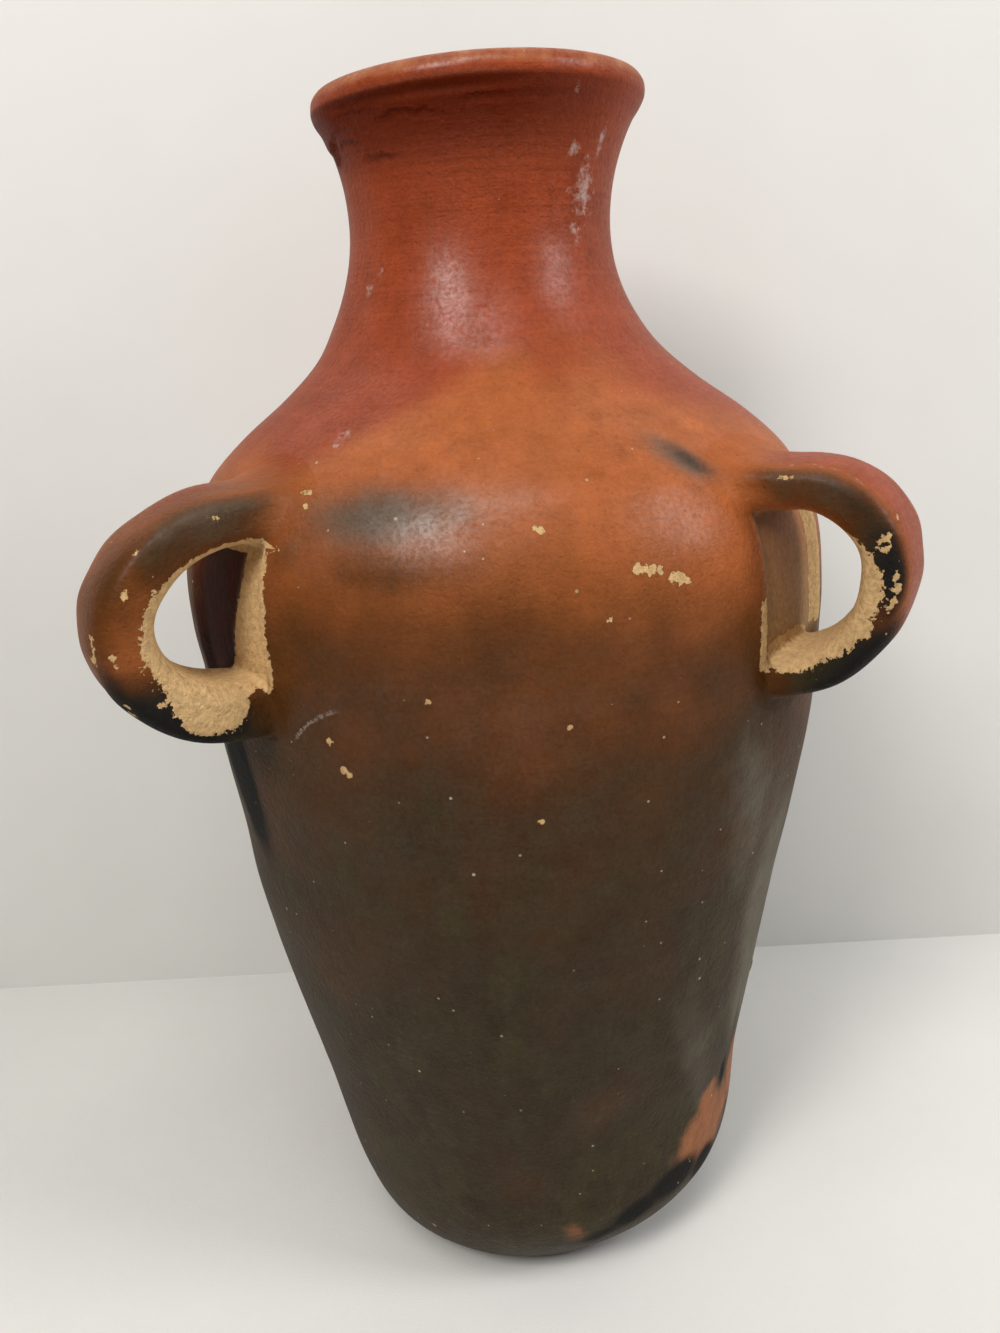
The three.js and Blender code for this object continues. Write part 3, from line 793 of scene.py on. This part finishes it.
def strap_grid(side, root, facing, middle, droop, out, rise, top, bottom, width, skew):
    """Points of the strap's skin: lines along it by stations round the loop, from the lower end up."""
    angles = np.radians(np.linspace(-90, 90, STRAP_STATIONS))
    end = np.linspace(-END_DEPTH, -0.5, END_STATIONS)
    level = np.ones(END_STATIONS)
    u = np.concatenate([end, out * np.cos(angles), end[::-1]])
    v = np.concatenate([-rise * level, rise * np.sin(angles), rise * level])
    loop = np.concatenate([-90 * level, np.degrees(angles), 90 * level])
    v = v + droop * np.maximum(u, 0) / out + 0.1 * skew * u * soft(-12, 12, v)
    du, dv = np.gradient(u), np.gradient(v)
    length = np.hypot(du, dv)
    share = np.clip((1 - v / rise) / 2, 0, 1)
    thick = top * (1 - share) + bottom * share
    spin = np.linspace(0, 2 * math.pi, STRAP_SIDES, endpoint=False)
    cx = np.sign(np.cos(spin)) * np.abs(np.cos(spin)) ** SQUARENESS
    cy = np.sign(np.sin(spin)) * np.abs(np.sin(spin)) ** SQUARENESS
    along_out = u[None] + (dv / length * thick / 2)[None] * cy[:, None]
    along_up = v[None] - (du / length * thick / 2)[None] * cy[:, None]
    place, look = math.radians(root), math.radians(facing)
    wall_r = float(mean_radius(middle))
    start = np.array([side * math.sin(place), -math.cos(place)]) * wall_r
    away = np.array([side * math.sin(look), -math.cos(look)])
    forward = np.array([-side * math.cos(look), -math.sin(look)])
    flat = start + along_out[..., None] * away + (cx * width / 2)[:, None, None] * forward
    return np.dstack([flat, middle + along_up]), loop, cx, cy


def smeared_ends(lines, reach, spread, outward):
    """A wad's lines, from the strap's split to the wall: along the strap, then bent out onto the wall."""
    gap = wall_gap(lines.reshape(-1, 3)).reshape(lines.shape[:2])
    inside = np.argmax(gap < 0, axis=1)
    each = np.arange(len(lines))
    before, after = gap[each, inside - 1], gap[each, inside]
    share = (before / (before - after))[:, None]
    feet = lines[each, inside - 1] * (1 - share) + lines[each, inside] * share
    normals = wall_normal(feet)
    aside = outward - normals * np.sum(outward * normals, axis=1, keepdims=True)
    aside /= np.linalg.norm(aside, axis=1, keepdims=True)
    landings = feet + aside * spread[:, None]
    for _ in range(3):
        landings = landings - wall_normal(landings) * wall_gap(landings)[:, None] * 0.9
    sunk = landings - wall_normal(landings) * 0.9 + aside * 0.6
    ends = []
    t = np.linspace(0, 1, 12)[1:, None]
    for i, foot, landing in zip(each, feet, landings):
        free = np.vstack([lines[i, :inside[i]], foot])
        travel = np.concatenate([[0], np.cumsum(np.linalg.norm(np.diff(free, axis=0), axis=1))])
        leave = travel[-1] - min(reach[i], travel[-1] * 0.8)
        plain = np.stack([np.interp(np.linspace(0, leave, 10), travel, free[:, k]) for k in range(3)], 1)
        bend = (1 - t) ** 2 * plain[-1] + 2 * t * (1 - t) * foot + t * t * landing
        ends.append(np.vstack([plain, bend, sunk[i]]))
    return ends


def lumpy(points):
    """A small unevenness in every direction, as fingers leave it."""
    rng = np.random.default_rng(5)
    total = np.zeros(len(points))
    for _ in range(14):
        direction = rng.normal(size=3)
        direction *= 2 * math.pi / rng.uniform(14, 46) / np.linalg.norm(direction)
        total += np.sin(points @ direction + rng.uniform(0, 6.28))
    return total / 14**0.5


# Fired tones of the straps. A strap's faces are front, where its section turns by 0, outer at 90, back at 180
# and inner at 270 degrees. A station is an angle up its loop, 0 at the furthest out and 90 at the top.
# A patch gives its station, its turn and its half length and half width in degrees, and its strength.
STRAP_TONES = {
    "left": {
        "brick": ((64, 105, 46, 40, 0.35), (10, 10, 22, 34, 0.35)),
        "smoke": ((60, 10, 44, 56, 0.72), (50, 85, 60, 60, 0.42), (-55, 45, 50, 90, 1.1),
                  (-40, 180, 80, 60, 0.9), (20, 50, 60, 90, 0.64)),
        "soot_and_shade": ((-46, 40, 30, 66, 1.05), (-24, 50, 20, 40, 0.8), (-70, 0, 14, 40, 0.9),
                 (-88, 20, 16, 80, 0.7)),
        "cloud": ((70, 25, 30, 40, 0.6),),
        "scorch": (),
        "chalk": ((72, 60, 12, 30, 0.5),),
    },
    "right": {
        "brick": ((50, 92, 60, 48, 1.0), (0, 95, 45, 40, 0.95), (62, -70, 30, 30, 0.8),
                  (85, 150, 30, 60, 0.8)),
        "smoke": ((30, 5, 90, 48, 0.8), (-60, 20, 45, 80, 1.0), (-40, 180, 80, 60, 0.9),
                  (60, 60, 50, 70, 0.3)),
        "soot_and_shade": ((5, 14, 36, 38, 0.85), (-45, 40, 34, 60, 1.0), (-84, 30, 20, 80, 0.85),
                 (44, 15, 30, 28, 0.5)),
        "cloud": ((62, 20, 36, 34, 0.5),),
        "scorch": ((8, -60, 24, 16, 0.9), (60, -60, 25, 30, 0.5)),
        "chalk": ((58, 52, 40, 12, 0.75), (20, 60, 26, 10, 0.6)),
    },
}
# Where the slip is gone from a strap's inner face: at each station, how far round from straight inwards.
WORN_INSIDE = {
    "left": ((-100, -10), (-82, 4), (-76, 34), (-71, 96), (-60, 112), (-46, 96), (-30, 84), (0, 80), (30, 80),
             (50, 70), (66, 60), (100, 50)),
    "right": ((-100, 50), (-86, 66), (-75, 78), (-50, 84), (-30, 92), (-10, 92), (8, 86), (24, 76), (38, 50),
              (52, 5), (100, -30)),
}
# Chips in the straps' skin: station, turn and radius in millimetres.
CHIPS = {
    "left": ((5, 60, 1.6), (1, 58, 1.3), (-5, 62, 1.4), (69, 12, 1.0), (28, 12, 1.3), (-3, 22, 1.4),
             (-8, 20, 1.1), (46, 35, 1.1), (92, 32, 1.0), (-28, 50, 1.0), (20, -14, 0.8), (-34, 62, 1.1)),
    "right": ((24, 12, 1.9), (19, 8, 1.6), (3, 18, 1.5), (-3, 20, 2.0), (-9, 17, 2.1), (-14, 12, 1.5),
              (70, 18, 0.9), (30, 62, 0.9), (-26, 30, 1.0)),
}
LOOP_RADIUS = 38
SECTION_RADIUS = 13


def strap_marks(name, points, station, spin):
    """The strap's own marks out on its loop, turning into the wall's marks near the wall."""
    turn = np.degrees(spin)
    out_here = soft(1.5, 15, wall_gap(points))
    marks = fire_marks(points)
    for mark, patches in STRAP_TONES[name].items():
        own = np.zeros(len(points))
        for at, facing, long, wide, strength in patches:
            aside = (turn - facing + 180) % 360 - 180
            own = np.maximum(own, strength * np.exp(-(((station - at) / long) ** 2) - (aside / wide) ** 2))
        marks[mark] = marks[mark] * (1 - out_here) + own * out_here
    for mark in ("ash", "inner", "thin", "painted_shade"):
        marks[mark] = marks[mark] * (1 - out_here)
    marks["lime"] = np.ones(len(points))
    from_inwards = np.abs((turn - 270 + 180) % 360 - 180)
    from_inwards = np.where((turn > 90) & (turn < 270), from_inwards * 1.25, from_inwards)
    bare = 0.5 + (along_azimuth(WORN_INSIDE[name], station) - from_inwards) / 26
    for at, facing, radius in CHIPS[name]:
        aside = ((turn - facing + 180) % 360 - 180) * math.pi / 180 * SECTION_RADIUS
        up = (station - at) * math.pi / 180 * LOOP_RADIUS
        bare = np.maximum(bare, 0.5 + (radius - np.hypot(aside, up)) * 0.22)
    marks["bare"] = np.maximum(np.clip(bare, 0, 1), marks["bare"] * (1 - out_here))
    marks["polish"] = 0.1 + 0.3 * out_here
    return marks


def handle_grid(name, sizes):
    """The whole skin of a handle as rings of points, from the foot of the lower wad to that of the upper."""
    grid, loop, cx, cy = strap_grid(**sizes)
    low_split, high_split = (int(np.argmin(np.abs(loop - a))) for a in (-SPLIT_ANGLE, SPLIT_ANGLE))
    faces = np.maximum([cy, -cy, cx, -cx], 0) ** 2
    faces /= faces.sum(0)
    section = grid - grid.mean(0)
    ends = []
    lower = (LOWER_SMEARS[name], grid[:, low_split::-1], 0)
    upper = (UPPER_SMEAR, grid[:, high_split:], -1)
    for smear, cut, tip in (lower, upper):
        reach, spread = (faces.T @ np.array([smear[face] for face in STRAP_FACES])).T
        ends.append(smeared_ends(cut, reach, spread, section[:, tip]))
    strap = grid[:, low_split:high_split + 1]
    lines = [np.vstack([low[::-1], middle[1:-1], high]) for low, middle, high in zip(ends[0], strap, ends[1])]
    rings = np.array(lines).transpose(1, 0, 2)
    across = np.roll(rings, -1, 1) - np.roll(rings, 1, 1)
    along = np.gradient(rings, axis=0)
    normals = np.cross(across, along)
    normals /= np.linalg.norm(normals, axis=2, keepdims=True) + 1e-9
    if np.mean(np.einsum("ijk,ijk->ij", normals, rings - rings.mean(1, keepdims=True))) < 0:
        normals = -normals
    fade = soft(0.2, 9, wall_gap(rings.reshape(-1, 3)).reshape(rings.shape[:2]))
    rings = rings + normals * (0.35 * lumpy(rings.reshape(-1, 3)).reshape(rings.shape[:2]) * fade)[..., None]
    flat_rings = rings.reshape(-1, 3)
    gap = wall_gap(flat_rings)
    own = soft(0.1, 2.6, gap)[:, None]
    normals = normals.reshape(-1, 3) * own + wall_normal(flat_rings) * (1 - own)
    normals /= np.linalg.norm(normals, axis=1, keepdims=True)
    low_end, high_end = (np.linspace(SPLIT_ANGLE, 100, len(end)) for end in (ends[0][0], ends[1][0]))
    stations = np.concatenate([-low_end[::-1], loop[low_split + 1:high_split], high_end])
    spin = np.linspace(0, 2 * math.pi, STRAP_SIDES, endpoint=False)
    marks = strap_marks(name, flat_rings, *(a.ravel() for a in np.meshgrid(stations, spin, indexing="ij")))
    marks = {mark: field.reshape(rings.shape[:2]) for mark, field in marks.items()}
    return rings, normals.reshape(rings.shape), marks, len(ends[0][0]) - 1


def ring_piece(name, rings, normals, marks):
    """A closed piece from rings of points, with its shading and marks from the given ones."""
    count, sides = rings.shape[:2]
    bm = bmesh.new()
    bmesh.ops.create_grid(bm, x_segments=sides, y_segments=count - 1, size=1)
    bm.verts.ensure_lookup_table()
    number = bm.verts.layers.int.new("number")
    for i, vertex in enumerate(bm.verts):
        row, column = divmod(i, sides + 1)
        vertex.co = rings[row, column % sides]
        vertex[number] = row * sides + column % sides + 1
    bmesh.ops.remove_doubles(bm, verts=bm.verts, dist=1e-4)
    rim_edges = [e for e in bm.edges if e.is_boundary]
    caps = bmesh.ops.holes_fill(bm, edges=rim_edges, sides=0)["faces"]
    bmesh.ops.poke(bm, faces=caps)
    bmesh.ops.recalc_face_normals(bm, faces=bm.faces)
    made = mesh_object(name, bm, clay)
    mesh = made.data
    order = np.zeros(len(mesh.vertices), int)
    mesh.attributes["number"].data.foreach_get("value", order)
    mesh.attributes.remove(mesh.attributes["number"])
    own = np.zeros(len(mesh.vertices) * 3)
    mesh.vertices.foreach_get("co", own)
    mesh.vertices.foreach_set("co", own * MM)
    mesh.update()
    table = np.vstack([[[0, 0, 0]], normals.reshape(-1, 3)])
    fields = {mark: np.append(0, field.ravel())[order] for mark, field in marks.items()}
    finish_skin(made, table[order], fields)
    return made


for name, sizes in HANDLES.items():
    rings, normals, marks, end = handle_grid(name, sizes)
    pieces = (
        ("lower_wad", slice(0, end + 1), "buff_clay"),
        ("strap", slice(end, len(rings) - end), "smoked_slip"),
        ("upper_wad", slice(len(rings) - end - 1, len(rings)), "orange_slip"),
    )
    for kind, span, slip in pieces:
        node = f"{name}_handle_{kind}"
        own = {mark: field[span] for mark, field in marks.items()}
        part(ring_piece(node + "_clay", rings[span], normals[span], own), node, slip)
